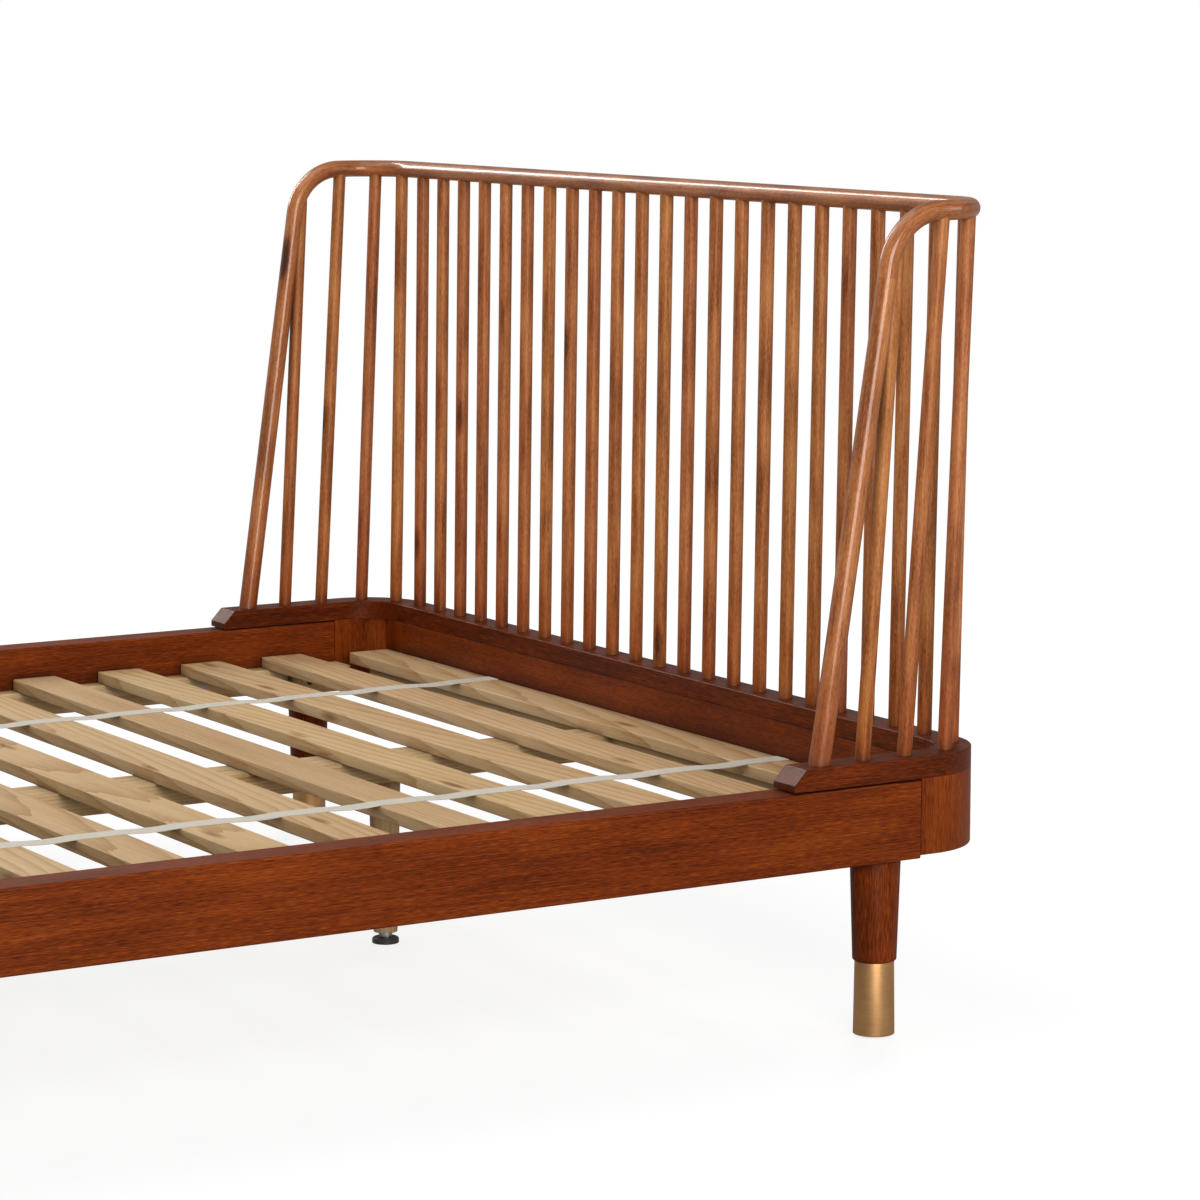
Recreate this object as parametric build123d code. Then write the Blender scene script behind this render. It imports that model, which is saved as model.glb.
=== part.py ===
from build123d import *
import os
from math import acos, cos, degrees, radians, sin, sqrt, tan

# Spindle-back platform bed in stained wood: a low rounded frame on tapered legs, with a cap plate on
# its head end that carries a fan of turned spindles under one bent bow.
# Millimetres. X runs across the bed, +Y points to the head, +Z is up, and the floor is Z = 0.

# Overall size, for a mattress 1524 wide and 2032 long
bed_width = 1660
bed_length = 2160
half_width = bed_width / 2
half_length = bed_length / 2

# Rails and rounded corner blocks
rail_thick = 50
rail_ease = 3
side_rail_low = 232
side_rail_high = 334
end_rail_low = 236
end_rail_high = 336
corner_straight = 24
corner_radius = 105.5
corner_inner_cut = 25
joint_gap = 1
arc_x = half_width - corner_radius
arc_y = half_length - corner_radius
joint_x = arc_x - corner_straight
joint_y = arc_y - corner_straight
inner_x = half_width - rail_thick
inner_y = half_length - rail_thick

# Cap plate, a U in plan that lies on the head end
cap_wide = 48
cap_low = end_rail_high
cap_top = cap_low + 28
cap_ease = 2
cap_nose = 195
cap_bevel_run = 18
cap_bevel_drop = 19
cap_mid_radius = corner_radius - cap_wide / 2
cap_mid_x = half_width - cap_wide / 2
cap_mid_y = half_length - cap_wide / 2

# Bow: a round rail that turns both back corners, arches down and ends in two raked posts
bow_radius = 13
bow_bend = 80
bow_height = 1056
bow_side_x = 813.5
bow_back_y = half_length - bow_radius
bow_seam_x = 720
bow_seam_below_arch = 15
arch_corner_y = joint_y - 37
post_foot = (cap_mid_x, joint_y - 142, cap_top)
post_foot_radius = 14

# Spindles, straight turnings let into the cap plate, with a shoulder and a round tenon in the bow
spindle_radius = 9.75
spindle_pitch = 65.5
back_spindle_count = 22
foot_depth = 18
head_shoulder = 7
head_tenon = 12
head_tenon_radius = 6
glue_gap = 0.1
tenon_end_gap = 1

# Dowels and loose tongues
bow_dowel_radius = 5
bow_dowel_half = 23
rail_dowel_radius = 6
rail_dowel_half = 30
rail_dowel_heights = (262, 310)
cap_dowel_radius = 5
cap_dowel_half = 14
cap_dowel_spots = (0, 4, 8)
dowel_gap = 0.05
tongue_thick = 4
tongue_half = 10
tongue_wide = 36

# Legs with a sheet-brass ferrule over their lower part
leg_x = 791
leg_y = joint_y - 44
leg_top_radius = 32.75
leg_foot_radius = 28.5
leg_rim = 2
ferrule_top = 98
ferrule_top_radius = 25.5
ferrule_foot_radius = 27
ferrule_wall = 1.5
ferrule_round = 2
leg_core_radius = 23.5
glide_height = 2
glide_radius = 16
glide_nail_radius = 1.5
glide_nail_length = 18

# Hanger bolts and threaded inserts, the same at every leg
bolt_radius = 5
bolt_in_leg = 50
bolt_in_insert = 24
insert_radius = 8
insert_height = 25
thread_clearance = 0.05

# Deck: cleats, centre beam, slats and the tapes that space them
deck_low = 270
cleat_wide = 30
cleat_half_length = 850
end_cleat_wide = 60
end_cleat_half_length = 698
leg_block_wide = 60
leg_block_start = 856.5
beam_wide = 70
beam_play = 0.3
slat_thick = 18
slat_wide = 70
slat_count = 15
slat_length = 1550
end_slat_length = 1490
end_slat_y = 993
slat_ease = 2
tape_x = 400
tape_wide = 30
tape_thick = 1
tape_half_length = 1026

# Centre legs with screw levellers
centre_leg_ys = (-620, 0, 620)
centre_leg_low = 16
centre_leg_top_radius = 22.5
centre_leg_foot_radius = 17
leveller_pad_height = 8
leveller_pad_radius = 19
leveller_socket = 5
leveller_flats = 17
leveller_face_gap = 0.3
leveller_length = 60
leveller_hole = 70
leveller_hole_radius = 5.3

# Hook-and-socket bed fasteners between the side rails and the corner blocks
fastener_x = 805
fastener_low = 240
fastener_high = 326
fastener_wide = 16
fastener_thick = 2.5
hook_tops = (312, 268)
hook_thick = 3
hook_neck = 8
hook_drop = 16
hook_reach = 14
slot_wide = 4
slot_spare = 8.5
plate_screw_height = 290

# Wood screws, one size for the deck and one for the fasteners
screw_radius = 2.5
screw_head_radius = 5
screw_length = 60
screw_counterbore = 30
plate_screw_radius = 2
plate_screw_head_radius = 3.6
plate_screw_length = 25
screw_gap = 0.05


def span(x_range, y_range, z_range):
    # A rectangular solid between two values on each axis
    sizes = [high - low for low, high in (x_range, y_range, z_range)]
    middle = [(high + low) / 2 for low, high in (x_range, y_range, z_range)]
    return Pos(*middle) * Box(*sizes)


def rod(radius, low, high, top_radius=None):
    # A round bar on the Z axis, tapered if a second radius is given
    middle = Pos(0, 0, (low + high) / 2)
    if top_radius is None:
        return middle * Cylinder(radius, high - low)
    return middle * Cone(radius, top_radius, high - low)


def along(start, end):
    # The plane whose Z axis runs from one point to another
    origin = Vector(*start)
    return Plane(origin=origin, z_dir=Vector(*end) - origin)


def distance(start, end):
    return (Vector(*end) - Vector(*start)).length


def left_of(shape):
    return mirror(shape, about=Plane.YZ)


def foot_end_of(shape):
    return mirror(shape, about=Plane.XZ)


def four_corners(shape):
    # The same piece at all four corners of the bed
    right = [shape, foot_end_of(shape)]
    return right + [left_of(each) for each in right]


def solids_of(shapes):
    return [solid for shape in shapes for solid in shape.solids()]


# Screws. The head's top face is at the given point and the screw runs along the given direction.


def screw(point, direction, radius, head_radius, length, gap=0, counterbore=0):
    head = head_radius - radius
    shape = rod(radius + gap, head, length + gap)
    shape += rod(head_radius + gap, 0, head, top_radius=radius + gap)
    if counterbore:
        shape += rod(head_radius + gap, -counterbore, 0)
    return Plane(origin=Vector(*point), z_dir=Vector(*direction)) * shape


def deck_screw(point, direction):
    return screw(point, direction, screw_radius, screw_head_radius, screw_length)


def deck_screw_hole(point, direction, counterbore=0):
    return screw(point, direction, screw_radius, screw_head_radius, screw_length, screw_gap, counterbore)


def plate_screw(point, direction):
    return screw(point, direction, plate_screw_radius, plate_screw_head_radius, plate_screw_length)


def plate_screw_hole(point, direction):
    return screw(
        point, direction, plate_screw_radius, plate_screw_head_radius, plate_screw_length, screw_gap
    )


# Where the deck screws sit, for the right-hand side and the head end; the rest are mirrored.
side_cleat_screws = [(inner_x - cleat_wide, y, 251) for y in (200, 700)]
leg_block_screws = [(inner_x - screw_counterbore, 874, 251)]
end_cleat_screws = [(350, inner_y - screw_counterbore, 253)]
to_side = (1, 0, 0)
to_head = (0, 1, 0)


# Bow


def unit(vector):
    return vector * (1 / vector.length)


post_way = unit(Vector(*post_foot) - Vector(bow_side_x, arch_corner_y, bow_height))
arch_turn = acos(-post_way.Y)
arch_tangent = bow_bend * tan(arch_turn / 2)
arch_centre_y = arch_corner_y + arch_tangent
post_seam_distance = arch_tangent + bow_seam_below_arch
post_seam = tuple(Vector(bow_side_x, arch_corner_y, bow_height) + post_way * post_seam_distance)


def on_bow_corner(angle):
    # A point on the bow's centreline round the back corner, counted from the side
    x = bow_side_x - bow_bend + bow_bend * cos(radians(angle))
    y = bow_back_y - bow_bend + bow_bend * sin(radians(angle))
    return (x, y, bow_height)


def on_cap_corner(angle):
    # A point on the cap plate's centreline round the back corner, counted from the side
    x = arc_x + cap_mid_radius * cos(radians(angle))
    y = arc_y + cap_mid_radius * sin(radians(angle))
    return (x, y, cap_top)


def on_arch(y):
    # A point on the bow's centreline where it arches down at the side
    drop = bow_bend - sqrt(bow_bend**2 - (arch_centre_y - y) ** 2)
    return (bow_side_x, y, bow_height - drop)


# Foot and head of each spindle's centreline. The side ones lean back and fan into the bow.
wing_axes = [
    ((cap_mid_x, joint_y - 76, cap_top), on_arch(joint_y - 35)),
    ((cap_mid_x, joint_y - 11, cap_top), (bow_side_x, joint_y + 34, bow_height)),
    (on_cap_corner(25), on_bow_corner(40.6)),
]
corner_axis = (on_cap_corner(67), on_bow_corner(75.7))
back_axes = [
    ((x, cap_mid_y, cap_top), (x, bow_back_y, bow_height))
    for x in [(i - (back_spindle_count - 1) / 2) * spindle_pitch for i in range(back_spindle_count)]
]


def spindle(axis, gap=0, end_gap=0):
    # A turned spindle, or with gaps the seat that it is glued into
    high = distance(*axis) - head_shoulder
    shape = rod(spindle_radius + gap, -foot_depth, high)
    shape += rod(head_tenon_radius + gap, high, high + head_tenon + end_gap)
    return along(*axis) * shape


def spindle_seat(axis):
    return spindle(axis, glue_gap, tenon_end_gap)


def bow_post(gap=0):
    # The raked front post, a little thicker at its foot
    shape = rod(post_foot_radius + gap, -foot_depth, distance(post_foot, post_seam), bow_radius + gap)
    return along(post_foot, post_seam) * shape


def bow_bend_bar(gap=0):
    # Both bends in one bar: round the back corner, then down the arch
    section = Circle(bow_radius + gap)
    across = Vector(1, 0, 0)
    forward = Vector(0, -1, 0)
    start = Vector(bow_seam_x, bow_back_y, bow_height)
    corner_start = Vector(bow_side_x - bow_bend, bow_back_y, bow_height)
    corner_end = Vector(bow_side_x, bow_back_y - bow_bend, bow_height)
    arch_start = Vector(bow_side_x, arch_centre_y, bow_height)
    arch_axis = unit(forward.cross(post_way))
    corner_axle = Axis(corner_start + forward * bow_bend, (0, 0, -1))
    arch_axle = Axis(arch_start + arch_axis.cross(forward) * bow_bend, arch_axis)
    bar = extrude(Plane(origin=start, z_dir=across) * section, (corner_start - start).length)
    bar += revolve(Plane(origin=corner_start, z_dir=across) * section, corner_axle, 90)
    bar += extrude(Plane(origin=corner_end, z_dir=forward) * section, (arch_start - corner_end).length)
    bar += revolve(Plane(origin=arch_start, z_dir=forward) * section, arch_axle, degrees(arch_turn))
    last = Plane(origin=Vector(*post_seam), z_dir=post_way * -1)
    return bar + extrude(last * section, bow_seam_below_arch)


def top_seam_dowel(gap=0):
    bar = rod(bow_dowel_radius + gap, -bow_dowel_half, bow_dowel_half)
    return Plane(origin=(bow_seam_x, bow_back_y, bow_height), z_dir=(1, 0, 0)) * bar


def post_seam_dowel(gap=0):
    bar = rod(bow_dowel_radius + gap, -bow_dowel_half, bow_dowel_half)
    return Plane(origin=post_seam, z_dir=post_way) * bar


def bow_top_rail():
    bar = rod(bow_radius, -bow_seam_x, bow_seam_x)
    rail = Plane(origin=(0, bow_back_y, bow_height), z_dir=(1, 0, 0)) * bar
    for axis in back_axes:
        rail -= spindle_seat(axis)
    bore = top_seam_dowel(dowel_gap)
    return rail - bore - left_of(bore)


def bow_bend_piece():
    bar = bow_bend_bar()
    for axis in wing_axes[1:] + [corner_axis]:
        bar -= spindle_seat(axis)
    return bar - top_seam_dowel(dowel_gap) - post_seam_dowel(dowel_gap)


def front_wing_spindle():
    # The first side spindle runs up into the arch and is scribed to the post along the way
    axis = wing_axes[0]
    shape = along(*axis) * rod(spindle_radius, -foot_depth, distance(*axis))
    shape = shape - bow_bend_bar(glue_gap) - bow_post(glue_gap)
    return max(shape.solids(), key=lambda solid: solid.volume)


# Cap plate


def cap_side_outline():
    # Plan of one side of the cap plate, from the seam round the corner to the nose
    nose_y = joint_y - cap_nose
    inner_edge = half_width - cap_wide
    back_inner = half_length - cap_wide
    inner_radius = corner_radius - cap_wide
    slant = sin(radians(45))
    lines = [
        Line((inner_edge, nose_y), (half_width, nose_y)),
        Line((half_width, nose_y), (half_width, arc_y)),
        ThreePointArc(
            (half_width, arc_y),
            (arc_x + corner_radius * slant, arc_y + corner_radius * slant),
            (arc_x, half_length),
        ),
        Line((arc_x, half_length), (bow_seam_x, half_length)),
        Line((bow_seam_x, half_length), (bow_seam_x, back_inner)),
        Line((bow_seam_x, back_inner), (arc_x, back_inner)),
        ThreePointArc(
            (arc_x, back_inner),
            (arc_x + inner_radius * slant, arc_y + inner_radius * slant),
            (inner_edge, arc_y),
        ),
        Line((inner_edge, arc_y), (inner_edge, nose_y)),
    ]
    return make_face(lines)


def cap_nose_bevel():
    nose_y = joint_y - cap_nose
    wedge = make_face(
        Polyline(
            (nose_y, cap_top - cap_bevel_drop),
            (nose_y + cap_bevel_run, cap_top),
            (nose_y, cap_top),
            close=True,
        )
    )
    return Pos(half_width - cap_wide / 2, 0, 0) * extrude(Plane.YZ * wedge, cap_wide, both=True)


def cap_tongue(gap=0):
    # A loose tongue across the seam, rounded in plan
    plan = RectangleRounded(2 * (tongue_half + gap), tongue_wide + 2 * gap, tongue_half - 1)
    thick = tongue_thick + 2 * gap
    low = cap_low + (cap_top - cap_low - thick) / 2
    return Pos(bow_seam_x, cap_mid_y, low) * extrude(plan, thick)


def cap_dowel(x, y, gap=0):
    return Pos(x, y, 0) * rod(cap_dowel_radius + gap, cap_low - cap_dowel_half, cap_low + cap_dowel_half)


def cap_back_dowels(gap=0):
    xs = {side * spot * spindle_pitch for spot in cap_dowel_spots for side in (-1, 1)}
    return [cap_dowel(x, cap_mid_y, gap) for x in sorted(xs)]


def cap_corner_dowel(gap=0):
    x, y, _ = on_cap_corner(45)
    return cap_dowel(x, y, gap)


def cap_plate_back():
    section = Pos(cap_mid_y, (cap_low + cap_top) / 2) * Rectangle(cap_wide, cap_top - cap_low)
    plate = extrude(Plane.YZ * section, bow_seam_x, both=True)
    plate = fillet(plate.edges().filter_by(Axis.X).group_by(Axis.Z)[-1], cap_ease)
    for axis in back_axes:
        plate -= spindle_seat(axis)
    for dowel in cap_back_dowels(dowel_gap):
        plate -= dowel
    tongue = cap_tongue(dowel_gap)
    return plate - tongue - left_of(tongue)


def cap_plate_side():
    plate = Pos(0, 0, cap_low) * extrude(cap_side_outline(), cap_top - cap_low)
    plate -= cap_nose_bevel()
    top = plate.faces().filter_by(Axis.Z).sort_by(Axis.Z)[-1]
    eased = [edge for edge in top.edges() if edge.center().Y > joint_y - cap_nose + cap_bevel_run + 1]
    plate = fillet([edge for edge in eased if abs(edge.center().X - bow_seam_x) > 1], cap_ease)
    for axis in wing_axes + [corner_axis]:
        plate -= spindle_seat(axis)
    plate -= bow_post(glue_gap)
    return plate - cap_corner_dowel(dowel_gap) - cap_tongue(dowel_gap)


# Corner blocks, end rails and side rails


def corner_block_outline():
    slant = corner_radius * sin(radians(45))
    lines = [
        Line((inner_x, joint_y), (half_width, joint_y)),
        Line((half_width, joint_y), (half_width, arc_y)),
        ThreePointArc((half_width, arc_y), (arc_x + slant, arc_y + slant), (arc_x, half_length)),
        Line((arc_x, half_length), (joint_x, half_length)),
        Line((joint_x, half_length), (joint_x, inner_y)),
        Line((joint_x, inner_y), (inner_x - corner_inner_cut, inner_y)),
        Line((inner_x - corner_inner_cut, inner_y), (inner_x, inner_y - corner_inner_cut)),
        Line((inner_x, inner_y - corner_inner_cut), (inner_x, joint_y)),
    ]
    return make_face(lines)


def fastener_plate(face_y, inward):
    # A thin plate let flush into the end grain, on the far side of the given face
    y_range = sorted((face_y, face_y + inward * fastener_thick))
    x_range = (fastener_x - fastener_wide / 2, fastener_x + fastener_wide / 2)
    return span(x_range, y_range, (fastener_low, fastener_high))


def hook(top):
    # One hook: its neck rests on the slot's lower edge and its lip drops behind the socket plate
    back = joint_y - joint_gap
    behind = joint_y + fastener_thick + leveller_face_gap
    outline = Polyline(
        (back, top),
        (back + hook_reach, top),
        (back + hook_reach, top - hook_drop),
        (behind, top - hook_drop),
        (behind, top - hook_neck),
        (back, top - hook_neck),
        close=True,
    )
    return Pos(fastener_x, 0, 0) * extrude(Plane.YZ * make_face(outline), hook_thick / 2, both=True)


def fastener_screws(maker):
    rail_face = joint_y - joint_gap
    rail_screw = maker((fastener_x, rail_face, plate_screw_height), (0, -1, 0))
    return [rail_screw, maker((fastener_x, joint_y, plate_screw_height), (0, 1, 0))]


def hook_plate():
    plate = fastener_plate(joint_y - joint_gap, -1)
    for top in hook_tops:
        plate += hook(top)
    for hole in fastener_screws(plate_screw_hole):
        plate -= hole
    return plate


def socket_slot(top, wide, y_range, under, over):
    x_range = (fastener_x - wide / 2, fastener_x + wide / 2)
    return span(x_range, y_range, (top - under, top + over))


def socket_plate():
    plate = fastener_plate(joint_y, 1)
    through = (joint_y - 1, joint_y + fastener_thick + 1)
    for top in hook_tops:
        plate -= socket_slot(top, slot_wide, through, hook_neck, slot_spare)
    for hole in fastener_screws(plate_screw_hole):
        plate -= hole
    return plate


def rail_dowels(gap=0):
    # Dowels between the end rail and a corner block
    bar = rod(rail_dowel_radius + gap, -rail_dowel_half, rail_dowel_half)
    y = half_length - rail_thick / 2
    return [Plane(origin=(joint_x, y, z), z_dir=(1, 0, 0)) * bar for z in rail_dowel_heights]


def on_block_outside(edge):
    # True for the edges that run round the outside of a corner block
    middle = edge.center()
    return middle.X > half_width - 0.1 or middle.Y > half_length - 0.1 or edge.geom_type == GeomType.CIRCLE


def corner_block(with_cap):
    block = Pos(0, 0, end_rail_low) * extrude(corner_block_outline(), end_rail_high - end_rail_low)
    for level in [0] if with_cap else [0, -1]:
        eased = block.faces().filter_by(Axis.Z).sort_by(Axis.Z)[level].edges().filter_by(on_block_outside)
        block = fillet(eased, rail_ease)
    block -= fastener_plate(joint_y, 1)
    pocket = (joint_y + fastener_thick, joint_y + hook_reach + 1)
    for top in hook_tops:
        block -= socket_slot(top, slot_wide + 1, pocket, hook_drop + 1, slot_spare + 1)
    for hole in fastener_screws(plate_screw_hole) + rail_dowels(dowel_gap):
        block -= hole
    if with_cap:
        block -= cap_corner_dowel(dowel_gap)
    return block


def end_rail(with_cap):
    section = Pos(half_length - rail_thick / 2, (end_rail_low + end_rail_high) / 2)
    section *= Rectangle(rail_thick, end_rail_high - end_rail_low)
    rail = extrude(Plane.YZ * section, joint_x, both=True)
    outer = rail.edges().filter_by(Axis.X).group_by(Axis.Y)[-1]
    rail = fillet(outer.group_by(Axis.Z)[0] if with_cap else outer, rail_ease)
    for hole in rail_dowels(dowel_gap):
        rail -= hole
        rail -= left_of(hole)
    for point in end_cleat_screws:
        hole = deck_screw_hole(point, to_head)
        rail -= hole
        rail -= left_of(hole)
    if with_cap:
        for dowel in cap_back_dowels(dowel_gap):
            rail -= dowel
    return rail


def side_rail():
    section = Pos(half_width - rail_thick / 2, (side_rail_low + side_rail_high) / 2)
    section *= Rectangle(rail_thick, side_rail_high - side_rail_low)
    section = fillet(section.vertices(), rail_ease)
    rail = extrude(Plane.XZ * section, joint_y - joint_gap, both=True)
    cuts = [fastener_plate(joint_y - joint_gap, -1), insert_seat(leg_x, leg_y, side_rail_low)]
    cuts += fastener_screws(plate_screw_hole)
    cuts += [deck_screw_hole(point, to_side) for point in side_cleat_screws + leg_block_screws]
    for cut in cuts:
        rail -= cut
        rail -= foot_end_of(cut)
    return rail


# Legs


def hanger_bolt(x, y, face_z, gap=0):
    return Pos(x, y, face_z) * rod(bolt_radius + gap, -bolt_in_leg - gap, bolt_in_insert)


def insert_seat(x, y, face_z):
    return Pos(x, y, face_z) * rod(insert_radius, 0, insert_height)


def threaded_insert(x, y, face_z):
    bore = rod(bolt_radius + thread_clearance, 0, insert_height)
    return insert_seat(x, y, face_z) - Pos(x, y, face_z) * bore


def leg():
    floor_gap = glide_height + ferrule_wall
    shoulder = ferrule_top
    taper = (leg_top_radius - leg_foot_radius) / (side_rail_low - shoulder)
    outline = Polyline(
        (0, floor_gap),
        (leg_core_radius, floor_gap),
        (leg_core_radius, shoulder),
        (leg_foot_radius - leg_rim, shoulder),
        (leg_foot_radius, shoulder + leg_rim),
        (leg_top_radius - taper, side_rail_low - 1),
        (leg_top_radius - 1, side_rail_low),
        (0, side_rail_low),
        close=True,
    )
    turned = Pos(leg_x, leg_y, 0) * revolve(Plane.XZ * make_face(outline), Axis.Z)
    turned -= hanger_bolt(leg_x, leg_y, side_rail_low, dowel_gap)
    return turned - glide(dowel_gap)


def ferrule():
    # A spun brass cup: straight inside, a slight flare outside, rolled over at the floor
    inside = leg_core_radius + dowel_gap
    low = glide_height
    top = ferrule_top - dowel_gap
    outline = Polyline(
        (0, low),
        (ferrule_foot_radius - ferrule_round, low),
        (ferrule_foot_radius, low + ferrule_round),
        (ferrule_top_radius, top),
        (inside, top),
        (inside, low + ferrule_wall),
        (0, low + ferrule_wall),
        close=True,
    )
    cup = Pos(leg_x, leg_y, 0) * revolve(Plane.XZ * make_face(outline), Axis.Z)
    return cup - glide(dowel_gap)


def glide(gap=0):
    # A nail-on glide under the ferrule
    shape = rod(glide_radius, 0, glide_height)
    shape += rod(glide_nail_radius + gap, glide_height, glide_height + glide_nail_length + gap)
    return Pos(leg_x, leg_y, 0) * shape


# Centre legs and levellers


def centre_leg(y):
    turned = rod(centre_leg_foot_radius, centre_leg_low, end_rail_low, top_radius=centre_leg_top_radius)
    turned -= rod(leveller_hole_radius, centre_leg_low, leveller_hole + centre_leg_low)
    turned -= insert_seat(0, 0, centre_leg_low)
    turned -= hanger_bolt(0, 0, end_rail_low, dowel_gap)
    return Pos(0, y, 0) * turned


def leveller_stud(y):
    # A threaded stud with a hexagon to turn it by; its end sits in the pad
    low = leveller_pad_height - leveller_socket + leveller_face_gap
    shape = rod(bolt_radius, low, low + leveller_length)
    hexagon = RegularPolygon(leveller_flats / 2, 6, major_radius=False)
    hex_low = leveller_pad_height + leveller_face_gap
    shape += Pos(0, 0, hex_low) * extrude(hexagon, centre_leg_low - leveller_face_gap - hex_low)
    return Pos(0, y, 0) * shape


def leveller_pad(y):
    pad = rod(leveller_pad_radius, 0, leveller_pad_height)
    pad = chamfer(pad.edges().group_by(Axis.Z)[-1], 2)
    bore_low = leveller_pad_height - leveller_socket
    pad -= rod(bolt_radius + thread_clearance, bore_low, leveller_pad_height + 1)
    return Pos(0, y, 0) * pad


# Deck


def side_cleat():
    x_range = (inner_x - cleat_wide, inner_x)
    cleat = span(x_range, (-cleat_half_length, cleat_half_length), (side_rail_low, deck_low))
    cleat = chamfer(cleat.edges().filter_by(Axis.Y).sort_by(Axis.X)[:2], 2)
    for point in side_cleat_screws:
        hole = deck_screw_hole(point, to_side)
        cleat -= hole
        cleat -= foot_end_of(hole)
    return cleat


def leg_block():
    x_range = (inner_x - leg_block_wide, inner_x)
    block = span(x_range, (leg_block_start, joint_y), (side_rail_low, deck_low))
    block = chamfer(block.edges().filter_by(Axis.Z).sort_by(Axis.X)[:2], 8)
    for point in leg_block_screws:
        block -= deck_screw_hole(point, to_side, screw_counterbore)
    return block


def end_cleat():
    y_range = (inner_y - end_cleat_wide, inner_y)
    x_range = (-end_cleat_half_length, end_cleat_half_length)
    cleat = span(x_range, y_range, (end_rail_low, deck_low))
    half_lap = (end_rail_low + deck_low) / 2
    notch = beam_wide / 2 + beam_play
    cleat -= span((-notch, notch), y_range, (half_lap, deck_low))
    for point in end_cleat_screws:
        hole = deck_screw_hole(point, to_head, screw_counterbore)
        cleat -= hole
        cleat -= left_of(hole)
    return cleat


def centre_beam():
    x_range = (-beam_wide / 2, beam_wide / 2)
    reach = inner_y - beam_play
    beam = span(x_range, (-reach, reach), (end_rail_low, deck_low))
    lap_start = inner_y - end_cleat_wide - beam_play
    lap = span(x_range, (lap_start, inner_y), (end_rail_low, (end_rail_low + deck_low) / 2))
    beam = beam - lap - foot_end_of(lap)
    for y in centre_leg_ys:
        beam -= insert_seat(0, y, end_rail_low)
    return beam


def slats():
    section = Rectangle(slat_wide, slat_thick)
    section = chamfer(section.vertices().group_by(Axis.Y)[-1], slat_ease)
    pitch = 2 * end_slat_y / (slat_count - 1)
    shapes = []
    for i in range(slat_count):
        is_end = i in (0, slat_count - 1)
        length = end_slat_length if is_end else slat_length
        slat = extrude(Plane.YZ * section, length / 2, both=True)
        slat = Pos(0, i * pitch - end_slat_y, deck_low + slat_thick / 2) * slat
        shapes.append(slat)
    return shapes


def slat_tape():
    x_range = (tape_x - tape_wide / 2, tape_x + tape_wide / 2)
    low = deck_low + slat_thick
    return span(x_range, (-tape_half_length, tape_half_length), (low, low + tape_thick))


def deck_screws():
    quarter = [deck_screw(point, to_side) for point in side_cleat_screws + leg_block_screws]
    quarter += [deck_screw(point, to_head) for point in end_cleat_screws]
    return [each for shape in quarter for each in four_corners(shape)]


# Every node and the solids in it
right_leg = leg()
right_ferrule = ferrule()
right_wing = [front_wing_spindle()] + [spindle(axis) for axis in wing_axes[1:]]
head_block = corner_block(with_cap=True)
foot_block = foot_end_of(corner_block(with_cap=False))
head_end_cleat = end_cleat()
rail = side_rail()
cleat = side_cleat()
bend = bow_bend_piece()
post = bow_post() - post_seam_dowel(dowel_gap)
cap_side = cap_plate_side()
corner_spindle = spindle(corner_axis)
tape = slat_tape()
dowel_pair = [top_seam_dowel(), post_seam_dowel()]
leg_inserts = four_corners(threaded_insert(leg_x, leg_y, side_rail_low))
leg_bolts = four_corners(hanger_bolt(leg_x, leg_y, side_rail_low))
centre_inserts = [threaded_insert(0, y, z) for y in centre_leg_ys for z in (end_rail_low, centre_leg_low)]
centre_bolts = [hanger_bolt(0, y, end_rail_low) for y in centre_leg_ys]
corner_dowels = [each for shape in rail_dowels() for each in four_corners(shape)]
fastener_plate_screws = [each for shape in fastener_screws(plate_screw) for each in four_corners(shape)]

nodes = {
    "bow_top_rail": [bow_top_rail()],
    "bow_bend_right": [bend],
    "bow_bend_left": [left_of(bend)],
    "bow_post_right": [post],
    "bow_post_left": [left_of(post)],
    "bow_dowels": dowel_pair + [left_of(shape) for shape in dowel_pair],
    "back_spindles": [spindle(axis) for axis in back_axes],
    "corner_spindle_right": [corner_spindle],
    "corner_spindle_left": [left_of(corner_spindle)],
    "cap_plate_back": [cap_plate_back()],
    "cap_plate_right": [cap_side],
    "cap_plate_left": [left_of(cap_side)],
    "cap_tongues": [cap_tongue(), left_of(cap_tongue())],
    "cap_dowels": cap_back_dowels() + [cap_corner_dowel(), left_of(cap_corner_dowel())],
    "head_rail": [end_rail(with_cap=True)],
    "foot_rail": [foot_end_of(end_rail(with_cap=False))],
    "head_corner_block_right": [head_block],
    "head_corner_block_left": [left_of(head_block)],
    "foot_corner_block_right": [foot_block],
    "foot_corner_block_left": [left_of(foot_block)],
    "corner_dowels": corner_dowels,
    "side_rail_right": [rail],
    "side_rail_left": [left_of(rail)],
    "rail_hook_plates": four_corners(hook_plate()),
    "rail_socket_plates": four_corners(socket_plate()),
    "side_cleat_right": [cleat],
    "side_cleat_left": [left_of(cleat)],
    "head_cleat": [head_end_cleat],
    "foot_cleat": [foot_end_of(head_end_cleat)],
    "leg_blocks": four_corners(leg_block()),
    "leg_head_right": [right_leg],
    "leg_head_left": [left_of(right_leg)],
    "leg_foot_right": [foot_end_of(right_leg)],
    "leg_foot_left": [foot_end_of(left_of(right_leg))],
    "ferrule_head_right": [right_ferrule],
    "ferrule_head_left": [left_of(right_ferrule)],
    "ferrule_foot_right": [foot_end_of(right_ferrule)],
    "ferrule_foot_left": [foot_end_of(left_of(right_ferrule))],
    "glides": four_corners(glide()),
    "hanger_bolts": leg_bolts + centre_bolts,
    "threaded_inserts": leg_inserts + centre_inserts,
    "centre_beam": [centre_beam()],
    "slats": slats(),
    "slat_tapes": [tape, left_of(tape)],
    "wood_screws": deck_screws() + fastener_plate_screws,
}
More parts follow.
